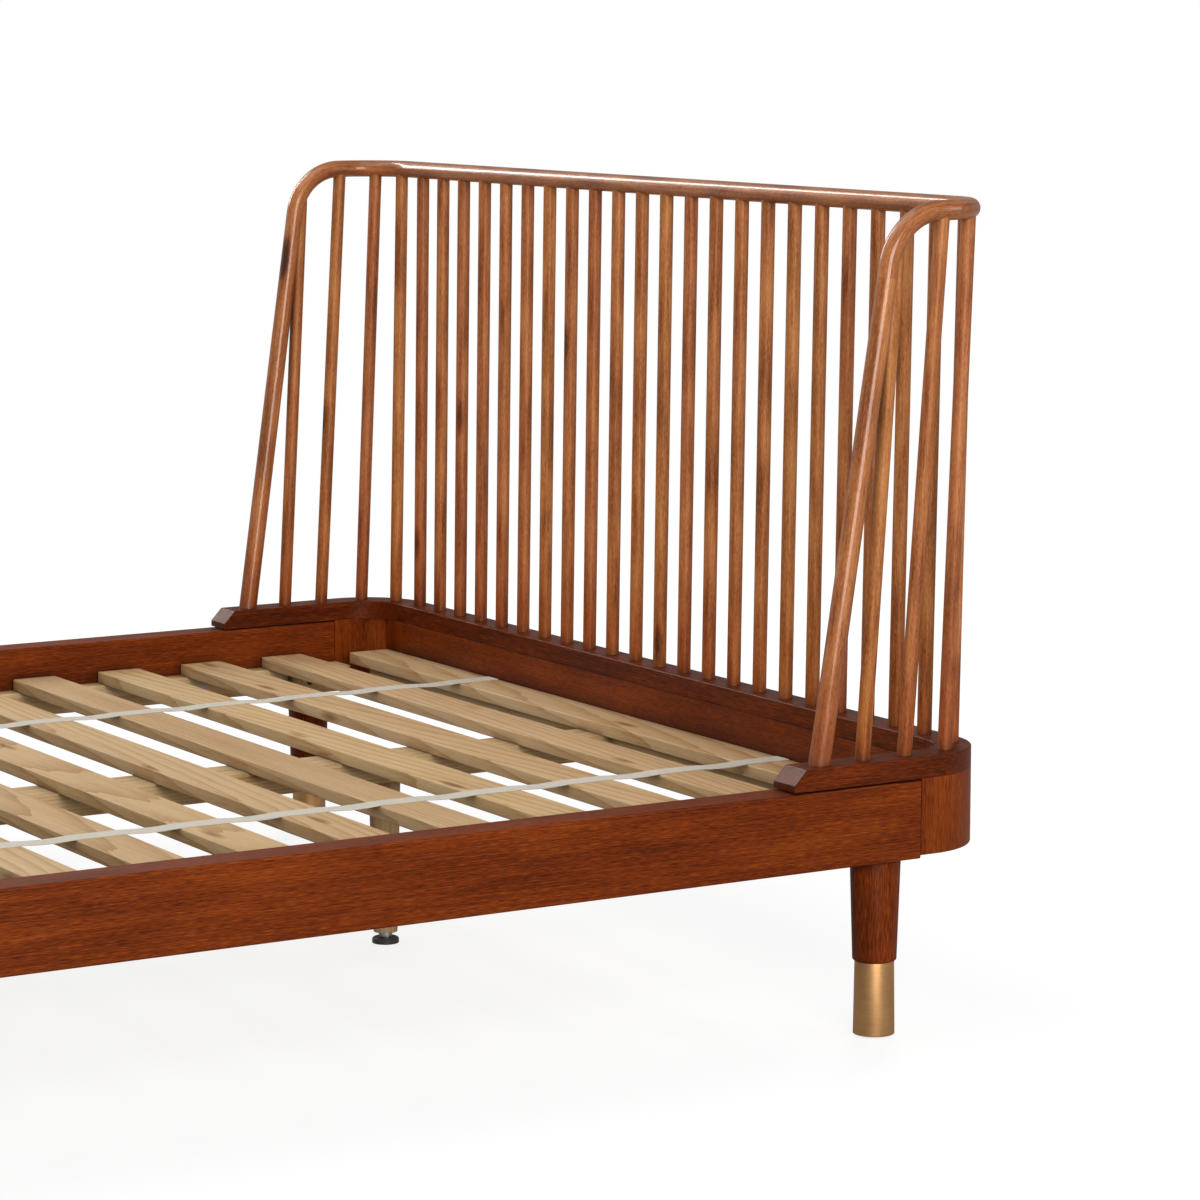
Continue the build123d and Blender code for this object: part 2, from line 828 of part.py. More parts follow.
for number, wing in enumerate(right_wing, start=1):
    nodes[f"wing_spindle_right_{number}"] = [wing]
    nodes[f"wing_spindle_left_{number}"] = [left_of(wing)]
for number, y in enumerate(centre_leg_ys, start=1):
    nodes[f"centre_leg_{number}"] = [centre_leg(y)]
    nodes[f"leveller_stud_{number}"] = [leveller_stud(y)]
    nodes[f"leveller_pad_{number}"] = [leveller_pad(y)]

os.makedirs("parts", exist_ok=True)
for name, shapes in nodes.items():
    solids = solids_of(shapes)
    export_step(solids[0] if len(solids) == 1 else Compound(children=solids), f"parts/{name}.step")
print(len(nodes), "nodes,", sum(len(solids_of(shapes)) for shapes in nodes.values()), "solids")
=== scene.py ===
import math
import random

import bmesh
import bpy
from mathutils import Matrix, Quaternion, Vector


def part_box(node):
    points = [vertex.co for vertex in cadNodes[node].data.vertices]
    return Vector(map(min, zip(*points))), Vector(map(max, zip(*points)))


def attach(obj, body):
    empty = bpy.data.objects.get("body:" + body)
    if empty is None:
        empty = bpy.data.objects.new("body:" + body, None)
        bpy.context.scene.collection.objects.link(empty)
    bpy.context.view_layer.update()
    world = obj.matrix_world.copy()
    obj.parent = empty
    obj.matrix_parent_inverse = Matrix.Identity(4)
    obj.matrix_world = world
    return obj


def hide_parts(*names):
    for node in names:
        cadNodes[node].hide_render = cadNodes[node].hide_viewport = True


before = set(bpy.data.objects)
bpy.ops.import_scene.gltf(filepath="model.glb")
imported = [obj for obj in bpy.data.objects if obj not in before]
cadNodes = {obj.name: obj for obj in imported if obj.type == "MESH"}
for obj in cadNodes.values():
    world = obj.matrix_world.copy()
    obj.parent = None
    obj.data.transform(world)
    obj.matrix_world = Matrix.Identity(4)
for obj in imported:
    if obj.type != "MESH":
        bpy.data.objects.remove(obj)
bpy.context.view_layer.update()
print("frame loaded,", len(cadNodes), "nodes")


# small helpers for materials

def paint(red, green, blue):
    # a colour as a screen shows it, 0 to 255, turned into the linear values that a shader takes
    shares = [value / 255 for value in (red, green, blue)]
    return tuple(s / 12.92 if s <= 0.04045 else ((s + 0.055) / 1.055) ** 2.4 for s in shares) + (1.0,)


def addNode(tree, kind, values=None, links=None, **settings):
    node = tree.nodes.new("ShaderNode" + kind)
    for name, value in settings.items():
        setattr(node, name, value)
    for socket, value in (values or {}).items():
        node.inputs[socket].default_value = value
    for socket, source in (links or {}).items():
        tree.links.new(source, node.inputs[socket])
    return node


def newMaterial(name):
    # a material with its shader, ready for nodes to be linked in
    material = bpy.data.materials.new(name)
    material.use_nodes = True
    return material, material.node_tree, material.node_tree.nodes["Principled BSDF"]


def stretchedNoise(tree, place, across, along, detail=3, rough=0.55):
    # noise drawn out along the grain; across and along say how many blotches there are to a metre
    scaled = addNode(tree, "Mapping", {"Scale": (across, across, along)}, {"Vector": place})
    values = {"Scale": 1, "Detail": detail, "Roughness": rough}
    return addNode(tree, "TexNoise", values, {"Vector": scaled.outputs[0]}).outputs[0]


def fade(tree, value, fromLow, fromHigh, toLow=0.0, toHigh=1.0):
    values = {"From Min": fromLow, "From Max": fromHigh, "To Min": toLow, "To Max": toHigh}
    return addNode(tree, "MapRange", values, {"Value": value}).outputs[0]


def addUp(tree, start, parts):
    # start, plus each part's value counted from its own middle and weighed by its amount
    total = None
    rest = start - sum(middle * amount for value, middle, amount in parts)
    for value, middle, amount in parts:
        node = addNode(tree, "Math", {1: amount, 2: rest}, {0: value}, operation="MULTIPLY_ADD")
        if total is not None:
            tree.links.new(total, node.inputs[2])
        total = node.outputs[0]
    return total


def colourStops(tree, value, stops):
    ramp = addNode(tree, "ValToRGB", None, {0: value})
    elements = ramp.color_ramp.elements
    while len(elements) < len(stops):
        elements.new(1.0)
    for element, (place, colour) in zip(elements, stops):
        element.position = place
        element.color = colour
    return ramp.outputs[0]


def linkShader(tree, shader, colour, rough, bump):
    tree.links.new(colour, shader.inputs["Base Color"])
    tree.links.new(rough, shader.inputs["Roughness"])
    tree.links.new(bump.outputs[0], shader.inputs["Normal"])


# wood under a satin finish, for every wooden piece; lengths in metres, noise in blotches to a metre

mahogany = {
    "stops": [(0.0, paint(38, 11, 2)), (0.34, paint(80, 28, 4)),
              (0.58, paint(116, 46, 7)), (1.0, paint(156, 77, 22))],
    "ringSpacing": 0.009, "ringWobble": 1.6, "ringDepth": 0.05,
    "streaks": (760, 14), "streakDepth": 0.42,
    "flecks": (1200, 70), "fleckDepth": 0.56,
    "patches": (24, 4), "patchDepth": 0.30,
    "poreDepth": 0.16, "knotDepth": 0.0,
    "roughness": 0.42, "specular": 0.18, "gloss": (1.0, 0.75, 0.6, 1), "bump": 0.14,
    "coat": 0.0, "coatRoughness": 0.3,
}
golden = {
    "stops": [(0.0, paint(66, 30, 13)), (0.34, paint(126, 68, 33)),
              (0.58, paint(170, 103, 57)), (1.0, paint(210, 147, 88))],
    "ringSpacing": 0.007, "ringWobble": 1.3, "ringDepth": 0.08,
    "streaks": (360, 14), "streakDepth": 0.26,
    "flecks": (800, 160), "fleckDepth": 0.32,
    "patches": (60, 9), "patchDepth": 0.46,
    "poreDepth": 0.10, "knotDepth": 0.75,
    "roughness": 0.45, "specular": 0.55, "gloss": (1.0, 0.52, 0.3, 1), "bump": 0.12,
    "coat": 0.10, "coatRoughness": 0.3,
    # the foot entries paint shade, darker and redder, onto the feet of spindles and posts
    "footShadeFrom": 0.368, "footShadeTo": 0.560, "footShade": (0.74, 0.51, 0.34),
}
polished = dict(golden, specular=0.6, coat=0.6, coatRoughness=0.13)
pine = {
    "stops": [(0.0, paint(140, 98, 58)), (0.34, paint(190, 150, 100)),
              (0.6, paint(214, 180, 132)), (1.0, paint(230, 204, 162))],
    "ringSpacing": 0.0045, "ringWobble": 0.9, "ringDepth": 0.30,
    "streaks": (300, 5), "streakDepth": 0.24,
    "flecks": (500, 40), "fleckDepth": 0.14,
    "patches": (12, 1.4), "patchDepth": 0.25,
    "poreDepth": 0.03, "knotDepth": 0.6,
    "roughness": 0.58, "specular": 0.3, "gloss": (1, 1, 1, 1), "bump": 0.12,
    "coat": 0.0, "coatRoughness": 0.3,
}
anyWood = {
    "pithDrift": (6, 6, 1.1), "pithReach": 0.03, "ringSlope": 0.02, "wobble": (40, 1.5),
    "lateWood": 2.5, "lateMiddle": 0.29,
    "pores": (1500, 55), "poresFrom": 0.60, "poresTo": 0.72,
    "knotSpread": (13, 13, 3.2), "knotEdge": 0.13, "knotHeart": 0.03,
    # the corner entries set the painted shade in corners and round sockets
    "middleShade": 0.55, "shadeReach": 0.022, "shadeFrom": 0.4, "shadeKeeps": 0.42,
    "footShadeDrift": 0.10, "hueSpread": 0.006, "toneSpread": 0.09,
    "sheenStreaks": 0.22, "sheenPores": 0.14,
    "streakHeight": 0.5, "fleckHeight": 0.25, "poreHeight": -0.6, "bumpDepth": 0.0006,
}
grainTurns = {"x": (0, math.radians(-90), 0), "y": (math.radians(90), 0, 0), "z": (0, 0, 0)}


def growthRings(tree, place, look):
    # rings about a pith that wanders, cut through by the piece
    drift = addNode(tree, "Mapping", {"Scale": anyWood["pithDrift"]}, {"Vector": place})
    wander = addNode(tree, "TexNoise", {"Scale": 1, "Detail": 2}, {"Vector": drift.outputs[0]})
    reach = anyWood["pithReach"]
    bent = addNode(tree, "VectorMath", {1: (reach, reach, 0), 2: (-reach / 2, -reach / 2, 0)},
                   {0: wander.outputs["Color"]}, operation="MULTIPLY_ADD")
    cross = addNode(tree, "VectorMath", None, {0: place, 1: bent.outputs[0]}, operation="ADD").outputs[0]
    flat = addNode(tree, "VectorMath", {1: (1, 1, anyWood["ringSlope"])}, {0: cross}, operation="MULTIPLY")
    fromPith = addNode(tree, "VectorMath", None, {0: flat.outputs[0]}, operation="LENGTH").outputs["Value"]
    wobble = stretchedNoise(tree, place, *anyWood["wobble"], 2)
    count = addUp(tree, 0, [(fromPith, 0, 1 / look["ringSpacing"]), (wobble, 0.5, look["ringWobble"])])
    saw = addNode(tree, "Math", None, {0: count}, operation="FRACT").outputs[0]
    late = addNode(tree, "Math", {1: anyWood["lateWood"]}, {0: saw}, operation="POWER").outputs[0]
    return cross, late


def paintedFootShade(tree, colour, patches, look):
    # painted shade: the feet of the spindles and posts are darker and redder, fading out up their height
    lying = addNode(tree, "TexCoord").outputs["Object"]
    height = addNode(tree, "SeparateXYZ", None, {0: lying}).outputs["Z"]
    uneven = addUp(tree, 0, [(height, 0, 1.0), (patches, 0.5, anyWood["footShadeDrift"])])
    foot = fade(tree, uneven, look["footShadeFrom"], look["footShadeTo"], 1.0, 0.0)
    footShadeShares = [fade(tree, foot, 0.0, 1.0, 1.0, share) for share in look["footShade"]]
    footShading = addNode(tree, "CombineXYZ", None, dict(enumerate(footShadeShares))).outputs[0]
    return addNode(tree, "VectorMath", None, {0: colour, 1: footShading}, operation="MULTIPLY").outputs[0]


def woodMaterial(name, look, grainAlong=None, shift=(0, 0, 0), pale=0.0):
    # turned pieces carry their own grain places; a flat piece takes them from where it lies in the bed
    material, tree, shader = newMaterial(name)
    if grainAlong is None:
        place = addNode(tree, "Attribute", attribute_name="grain").outputs["Vector"]
    else:
        lying = addNode(tree, "TexCoord").outputs["Object"]
        turned = addNode(tree, "Mapping", {"Rotation": grainTurns[grainAlong]}, {"Vector": lying})
        place = addNode(tree, "Mapping", {"Location": shift}, {"Vector": turned.outputs[0]}).outputs[0]
    tint = addNode(tree, "Attribute", attribute_name="tint").outputs["Fac"]

    cross, late = growthRings(tree, place, look)
    streaks = stretchedNoise(tree, place, *look["streaks"], 4, 0.6)
    flecks = stretchedNoise(tree, place, *look["flecks"], 2, 0.5)
    patches = stretchedNoise(tree, place, *look["patches"], 3, 0.5)
    specks = stretchedNoise(tree, place, *anyWood["pores"], 1)
    pores = fade(tree, specks, anyWood["poresFrom"], anyWood["poresTo"])
    parts = [(late, anyWood["lateMiddle"], -look["ringDepth"]), (streaks, 0.5, look["streakDepth"] * 2),
             (flecks, 0.5, look["fleckDepth"] * 2), (patches, 0.5, look["patchDepth"] * 2),
             (pores, 0, -look["poreDepth"])]
    if look["knotDepth"]:
        spread = addNode(tree, "Mapping", {"Scale": anyWood["knotSpread"]}, {"Vector": cross})
        cells = addNode(tree, "TexVoronoi", {"Scale": 1}, {"Vector": spread.outputs[0]})
        knots = fade(tree, cells.outputs["Distance"], anyWood["knotEdge"], anyWood["knotHeart"])
        parts.append((knots, 0, -look["knotDepth"]))
    colour = colourStops(tree, addUp(tree, anyWood["middleShade"] + pale, parts), look["stops"])

    # painted shade: the colour is darkened in corners and round sockets, where other surfaces lie near
    corners = addNode(tree, "AmbientOcclusion", {"Distance": anyWood["shadeReach"]}, samples=6)
    paintedShade = fade(tree, corners.outputs["AO"], anyWood["shadeFrom"], 1.0, anyWood["shadeKeeps"], 1.0)
    # painted shade on the feet of spindles and posts
    if "footShade" in look:
        colour = paintedFootShade(tree, colour, patches, look)
    # the painted shade from the occlusion darkens the colour here
    shadedColour = addNode(tree, "VectorMath", None, {0: colour, "Scale": paintedShade}, operation="SCALE").outputs[0]
    warmth = addUp(tree, 0.5, [(tint, 0, anyWood["hueSpread"])])
    depth = addUp(tree, 1.0, [(tint, 0, anyWood["toneSpread"])])
    toned = addNode(tree, "HueSaturation", None, {"Color": shadedColour, "Hue": warmth, "Value": depth})

    sheen = addUp(tree, look["roughness"], [(streaks, 0.5, anyWood["sheenStreaks"]),
                                            (pores, 0, anyWood["sheenPores"])])
    height = addUp(tree, 0, [(streaks, 0, anyWood["streakHeight"]), (flecks, 0, anyWood["fleckHeight"]),
                             (pores, 0, anyWood["poreHeight"])])
    bump = addNode(tree, "Bump", {"Strength": look["bump"], "Distance": anyWood["bumpDepth"]},
                   {"Height": height})
    linkShader(tree, shader, toned.outputs[0], sheen, bump)
    shader.inputs["Specular IOR Level"].default_value = look["specular"]
    shader.inputs["Specular Tint"].default_value = look["gloss"]
    shader.inputs["Coat Weight"].default_value = look["coat"]
    shader.inputs["Coat Roughness"].default_value = look["coatRoughness"]
    return material


# metal and nylon

brushedBrass = {"colour": (220, 171, 117), "dull": (190, 139, 89), "roughness": 0.45,
                "lines": (30, 2600), "metal": 1.0}
zincSteel = {"colour": (190, 192, 194), "dull": (136, 140, 146), "roughness": 0.36,
             "lines": (160, 160), "metal": 1.0}
blackSteel = {"colour": (62, 62, 64), "dull": (34, 34, 36), "roughness": 0.48,
              "lines": (220, 220), "metal": 1.0}
yellowBrass = {"colour": (205, 165, 88), "dull": (150, 112, 54), "roughness": 0.36,
               "lines": (300, 300), "metal": 1.0}
greyNylon = {"colour": (74, 70, 66), "dull": (54, 50, 47), "roughness": 0.5,
             "lines": (900, 900), "metal": 0.0}
handling = {"marks": (38, 38), "lineTone": 1.1, "markTone": 0.9, "lineRough": 0.2, "markRough": 0.16,
            "bump": 0.08, "bumpDepth": 0.0003}
toneEnds = (0.1, 0.8)  # where the darker and the lighter tone of a two-tone finish stand


def plainMaterial(name, look):
    # two close tones, mixed by fine lines and by handling marks
    material, tree, shader = newMaterial(name)
    lying = addNode(tree, "TexCoord").outputs["Object"]
    lines = stretchedNoise(tree, lying, *look["lines"], 3, 0.6)
    marks = stretchedNoise(tree, lying, *handling["marks"], 4, 0.6)
    tone = addUp(tree, 0.55, [(lines, 0.5, handling["lineTone"]), (marks, 0.5, handling["markTone"])])
    colour = colourStops(tree, tone, list(zip(toneEnds, (paint(*look["dull"]), paint(*look["colour"])))))
    rough = addUp(tree, look["roughness"], [(lines, 0.5, handling["lineRough"]),
                                            (marks, 0.5, handling["markRough"])])
    bump = addNode(tree, "Bump", {"Strength": handling["bump"], "Distance": handling["bumpDepth"]},
                   {"Height": lines})
    linkShader(tree, shader, colour, rough, bump)
    shader.inputs["Metallic"].default_value = look["metal"]
    return material


# small helpers for meshes; a part is the corners and faces of one solid, with its grain and its tint

pinRadius = 0.0001  # a turning ends in a tiny circle on its axis
weldReach = 0.000001


def ringedPart(verts, grain, sides, tint=0.0):
    # faces between rings of corners, and over the first ring and the last
    faces = []
    for ring in range(len(verts) // sides - 1):
        for step in range(sides):
            near, far, nextStep = ring * sides, (ring + 1) * sides, (step + 1) % sides
            faces.append((near + step, near + nextStep, far + nextStep, far + step))
    faces.append(tuple(range(sides))[::-1])
    faces.append(tuple(range(len(verts) - sides, len(verts))))
    return {"verts": verts, "faces": faces, "grain": grain, "tint": tint}


def sweptPart(points, radii, sides, shift=(0, 0, 0), startAt=0.0, tint=0.0):
    # a round bar along a line of points, with a side that turns as little as it can
    verts, grain = [], []
    side, travelled, last = Vector((0, 0, 1)), startAt, len(points) - 1
    if abs((points[1] - points[0]).normalized().z) > 0.9:
        side = Vector((1, 0, 0))
    for number, (point, radius) in enumerate(zip(points, radii)):
        ahead = (points[min(number + 1, last)] - points[max(number - 1, 0)]).normalized()
        side = (side - ahead * side.dot(ahead)).normalized()
        other = ahead.cross(side)
        if number:
            travelled += (point - points[number - 1]).length
        for step in range(sides):
            angle = math.tau * step / sides
            u, v = radius * math.cos(angle), radius * math.sin(angle)
            verts.append(point + side * u + other * v)
            grain.append((u + shift[0], v + shift[1], travelled + shift[2]))
    return ringedPart(verts, grain, sides, tint)


def turnedPart(profile, centre, sides, shift=(0, 0, 0), tint=0.0):
    # a lathe turning about an upright line; the profile runs along it as (radius, height) pairs
    verts, grain = [], []
    for radius, height in profile:
        for step in range(sides):
            angle = math.tau * step / sides
            u, v = radius * math.cos(angle), radius * math.sin(angle)
            verts.append(Vector((centre[0] + u, centre[1] + v, height)))
            grain.append((u + shift[0], v + shift[1], height + shift[2]))
    return ringedPart(verts, grain, sides, tint)


def mirroredPart(part):
    # the same part on the other side of the bed
    verts = [Vector((-v.x, v.y, v.z)) for v in part["verts"]]
    grain = [(u, v, -w) for u, v, w in part["grain"]]
    faces = [face[::-1] for face in part["faces"]]
    return {"verts": verts, "faces": faces, "grain": grain, "tint": part["tint"]}


def cutFrom(log, draw):
    # where in its log a piece was cut, so that no two have the same grain
    return tuple(draw.uniform(low, high) for low, high in log)


def makePiece(name, parts, material, nodes, body="frame", sharpFrom=38):
    verts, faces, grain, tint = [], [], [], []
    for part in parts:
        first = len(verts)
        verts += part["verts"]
        faces += [[first + corner for corner in face] for face in part["faces"]]
        grain += part["grain"]
        tint += [part["tint"]] * len(part["verts"])
    mesh = bpy.data.meshes.new(name)
    mesh.from_pydata(verts, [], faces)
    grainPlaces = mesh.attributes.new("grain", "FLOAT_VECTOR", "POINT")
    grainPlaces.data.foreach_set("vector", [value for place in grain for value in place])
    mesh.attributes.new("tint", "FLOAT", "POINT").data.foreach_set("value", tint)
    work = bmesh.new()
    work.from_mesh(mesh)
    bmesh.ops.remove_doubles(work, verts=work.verts, dist=weldReach)
    bmesh.ops.recalc_face_normals(work, faces=work.faces)
    work.to_mesh(mesh)
    work.free()
    mesh.shade_smooth()
    mesh.set_sharp_from_angle(angle=math.radians(sharpFrom))
    mesh.materials.append(material)
    piece = bpy.data.objects.new(name, mesh)
    bpy.context.scene.collection.objects.link(piece)
    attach(piece, body)
    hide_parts(*nodes)
    return piece


def straightRun(start, end, step):
    count = max(1, round((end - start).length / step))
    return [start.lerp(end, number / count) for number in range(count + 1)]


def arcRun(start, centre, axis, turn, step):
    count = max(2, round(math.degrees(turn) / step))
    turns = [Quaternion(axis, turn * number / count) for number in range(count + 1)]
    return [centre + each @ (start - centre) for each in turns]


def joined(*runs):
    # runs end to end, without the points that they share
    points = list(runs[0])
    for run in runs[1:]:
        points += run[1:]
    return points


def rounded(corners, radius, steps=4):
    # a profile with each inner corner turned through a small round, less than half a side long
    points = [corners[0]]
    for before, corner, after in zip(corners, corners[1:], corners[2:]):
        here, back, on = (Vector(each) for each in (corner, before, after))
        cut = min(radius, (here - back).length / 2.1, (on - here).length / 2.1)
        start, end = here + (back - here).normalized() * cut, here + (on - here).normalized() * cut
        for number in range(steps + 1):
            share = number / steps
            point = start * (1 - share) ** 2 + here * 2 * share * (1 - share) + end * share ** 2
            points.append(tuple(point))
    return points + [corners[-1]]


# the bow: one line from the middle of the back, round the corner, down the arch and to the post's foot

bow = {
    "radius": 0.013, "footRadius": 0.014, "bend": 0.080, "archCornerY": 0.9135,
    "foot": (0.806, 0.8085, 0.364), "letIn": 0.018, "seamBelowArch": 0.015,
    "sides": 48, "step": 0.02, "arcStep": 3, "log": (0.031, 0.052, 0),
}
bowWood = woodMaterial("bowWood", polished)


def makeBow(look):
    railLow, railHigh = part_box("bow_top_rail")
    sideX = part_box("bow_bend_right")[1].x - look["radius"]
    backY, height, seamX = railHigh.y - look["radius"], (railLow.z + railHigh.z) / 2, railHigh.x
    bend, step, foot = look["bend"], look["step"], Vector(look["foot"])
    forward = Vector((0, -1, 0))
    archCorner = Vector((sideX, look["archCornerY"], height))
    postWay = (foot - archCorner).normalized()
    archTurn = forward.angle(postWay)
    tangent = bend * math.tan(archTurn / 2)
    archAxis = forward.cross(postWay).normalized()
    archStart = archCorner - forward * tangent
    archCentre = archStart + archAxis.cross(forward) * bend
    cornerStart = Vector((sideX - bend, backY, height))
    corner = arcRun(cornerStart, cornerStart + forward * bend, (0, 0, -1), math.pi / 2, look["arcStep"])
    arch = arcRun(archStart, archCentre, archAxis, archTurn, look["arcStep"])
    postTop = archCorner + postWay * (tangent + look["seamBelowArch"])
    seam = Vector((seamX, backY, height))
    topLine = straightRun(Vector((-seamX, backY, height)), seam, step)
    bendLine = joined(straightRun(seam, cornerStart, step), corner,
                      straightRun(corner[-1], archStart, step), arch,
                      straightRun(arch[-1], postTop, step))
    postLine = straightRun(postTop, foot + postWay * look["letIn"], step)

    top = sweptPart(topLine, [look["radius"]] * len(topLine), look["sides"], look["log"], -seamX)
    makePiece("bowTopRail", [top], bowWood, ["bow_top_rail"])
    bendPart = sweptPart(bendLine, [look["radius"]] * len(bendLine), look["sides"], look["log"], seamX)
    bendLength = sum((b - a).length for a, b in zip(bendLine, bendLine[1:]))
    last = len(postLine) - 1
    growing = [look["radius"] + (look["footRadius"] - look["radius"]) * n / last for n in range(last + 1)]
    postPart = sweptPart(postLine, growing, look["sides"], look["log"], seamX + bendLength)
    for side in ("Right", "Left"):
        for kind, part in (("Bend", bendPart), ("Post", postPart)):
            if side == "Left":
                part = mirroredPart(part)
            node = f"bow_{kind.lower()}_{side.lower()}"
            makePiece("bow" + kind + side, [part], bowWood, [node])
    return {"sideX": sideX, "backY": backY, "height": height, "archStartY": archStart.y}


bowPlace = makeBow(bow)
print("bow bent and set on its posts")


# spindles: let into the cap plate, with a shoulder and a round tenon up in the bow

spindles = {
    "radius": 0.00975, "letIn": 0.018, "shoulder": 0.007, "tenonRadius": 0.006, "tenon": 0.012,
    "count": 22, "pitch": 0.0655, "sides": 32, "rings": 24, "ease": 0.0008,
    "capMidX": 0.806, "capMidY": 1.056, "cornerRadius": 0.0815, "blockRadius": 0.1055,
    "wingFeet": (0.8745, 0.9395), "wingHeads": (0.9155, 0.9845),
    "lastWing": (25, 40.6), "corner": (67, 75.7),
    "seed": 7, "log": ((-0.12, 0.12), (-0.12, 0.12), (0, 40)), "tints": 1,
}
spindleWood = woodMaterial("spindleWood", golden)


def spindlePart(foot, head, look, draw, scribed=False):
    # one spindle, from its seat in the plate to its tenon, or to the arch that it is scribed to
    way = (head - foot).normalized()
    high = (head - foot).length
    radius, ease = look["radius"], look["ease"]
    marks = [(-look["letIn"], radius - ease), (-look["letIn"] + ease, radius)]
    marks += [(high * n / look["rings"], radius) for n in range(look["rings"])]
    if scribed:
        marks.append((high, radius))
    else:
        top = high - look["shoulder"]
        marks += [(top - ease, radius), (top, radius - ease), (top, look["tenonRadius"]),
                  (top + look["tenon"], look["tenonRadius"])]
    points = [foot + way * distance for distance, _ in marks]
    log = cutFrom(look["log"], draw)
    tint = draw.uniform(-look["tints"], look["tints"])
    return sweptPart(points, [size for _, size in marks], look["sides"], log, 0, tint)


def roundCorner(centreX, centreY, radius, angle, height):
    turn = math.radians(angle)
    return Vector((centreX + radius * math.cos(turn), centreY + radius * math.sin(turn), height))


def makeSpindles(look):
    draw = random.Random(look["seed"])
    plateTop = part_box("cap_plate_back")[1].z
    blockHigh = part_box("head_corner_block_right")[1]
    arcX, arcY = blockHigh.x - look["blockRadius"], blockHigh.y - look["blockRadius"]
    bowX, bowY, bowZ = bowPlace["sideX"], bowPlace["backY"], bowPlace["height"]
    bend = bow["bend"]

    def line(footX, footY, headX, headY, headZ=bowZ):
        return Vector((footX, footY, plateTop)), Vector((headX, headY, headZ))

    def cornerLine(angles):
        foot = roundCorner(arcX, arcY, look["cornerRadius"], angles[0], plateTop)
        return foot, roundCorner(bowX - bend, bowY - bend, bend, angles[1], bowZ)

    parts = []
    for number in range(look["count"]):
        x = (number - (look["count"] - 1) / 2) * look["pitch"]
        parts.append(spindlePart(*line(x, look["capMidY"], x, bowY), look, draw))
    makePiece("backSpindles", parts, spindleWood, ["back_spindles"])

    # the first side spindle ends under the arch, whose line has dropped a little there
    drop = bend - math.sqrt(bend ** 2 - (bowPlace["archStartY"] - look["wingHeads"][0]) ** 2)
    wings = [
        line(look["capMidX"], look["wingFeet"][0], bowX, look["wingHeads"][0], bowZ - drop),
        line(look["capMidX"], look["wingFeet"][1], bowX, look["wingHeads"][1]),
        cornerLine(look["lastWing"]),
    ]
    for side in ("right", "left"):
        for number, ends in enumerate(wings + [cornerLine(look["corner"])], start=1):
            part = spindlePart(*ends, look, draw, scribed=number == 1)
            if side == "left":
                part = mirroredPart(part)
            name, node = f"wingSpindle{side.capitalize()}{number}", f"wing_spindle_{side}_{number}"
            if number > len(wings):
                name, node = "cornerSpindle" + side.capitalize(), "corner_spindle_" + side
            makePiece(name, [part], spindleWood, [node])


makeSpindles(spindles)
print("spindles turned")


# legs, with a brass ferrule over the lower part

legs = {
    "topRadius": 0.03275, "footRadius": 0.0285, "coreRadius": 0.0235, "coreLow": 0.0035,
    "rim": 0.002, "rimGap": 0.00005, "ease": 0.0011, "sides": 96,
    "seed": 11, "log": ((-0.09, 0.09), (-0.09, 0.09), (0, 9)), "tints": 0.4,
}
ferrules = {
    "topRadius": 0.0255, "footRadius": 0.027, "footInset": 0.0001, "wall": 0.0015,
    "ease": 0.002 / 3, "boreSlack": 0.00005, "sides": 96,
}
legWood = woodMaterial("legWood", mahogany)
ferruleBrass = plainMaterial("ferruleBrass", brushedBrass)


def legProfile(low, high, look):
    # up the core that the ferrule covers, out over the rim and up the taper
    return [(pinRadius, look["coreLow"]), (look["coreRadius"], look["coreLow"]), (look["coreRadius"], low),
            (look["footRadius"] - look["rim"], low + look["rimGap"]), (look["footRadius"], low + look["rim"]),
            (look["topRadius"], high), (pinRadius, high)]


def ferruleProfile(low, high, bore, look):
    # a cup: under its floor, up its outside, over its rim and down its inside
    return [(pinRadius, low), (look["footRadius"] - look["footInset"], low), (look["topRadius"], high),
            (bore, high), (bore, low + look["wall"]), (pinRadius, low + look["wall"])]


def makeLegs(look, cup):
    draw = random.Random(look["seed"])
    bore = look["coreRadius"] + cup["boreSlack"]
    for end in ("head", "foot"):
        for side in ("right", "left"):
            low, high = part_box(f"leg_{end}_{side}")
            centre = ((low.x + high.x) / 2, (low.y + high.y) / 2)
            cupLow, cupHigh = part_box(f"ferrule_{end}_{side}")
            place = end.capitalize() + side.capitalize()
            log, tint = cutFrom(look["log"], draw), draw.uniform(-look["tints"], look["tints"])
            profile = rounded(legProfile(cupHigh.z, high.z, look), look["ease"])
            part = turnedPart(profile, centre, look["sides"], log, tint)
            makePiece("leg" + place, [part], legWood, [f"leg_{end}_{side}"])
            profile = rounded(ferruleProfile(cupLow.z, cupHigh.z, bore, cup), cup["ease"])
            part = turnedPart(profile, centre, cup["sides"])
            makePiece("ferrule" + place, [part], ferruleBrass, [f"ferrule_{end}_{side}"])


makeLegs(legs, ferrules)
print("legs turned, ferrules on")


# slats

slats = {
    "wide": 0.070, "thick": 0.018, "long": 1.55, "endLong": 1.49, "count": 15,
    "ease": 0.002, "easeSteps": 4, "endEase": 0.0012,
    "seed": 23, "log": ((-0.2, 0.2), (0.01, 0.16), (0, 60)), "tints": 0.6,
}
slatWood = woodMaterial("slatWood", pine)


def slatOutline(look):
    # (across, up) corners of a slat's section, its long edges rounded over
    halfWide, halfThick, ease = look["wide"] / 2, look["thick"] / 2, look["ease"]
    points = []
    for quarter, (signY, signZ) in enumerate(((1, 1), (-1, 1), (-1, -1), (1, -1))):
        centre = (signY * (halfWide - ease), signZ * (halfThick - ease))
        for number in range(look["easeSteps"] + 1):
            angle = math.pi / 2 * (quarter + number / look["easeSteps"])
            points.append((centre[0] + ease * math.cos(angle), centre[1] + ease * math.sin(angle)))
    return points


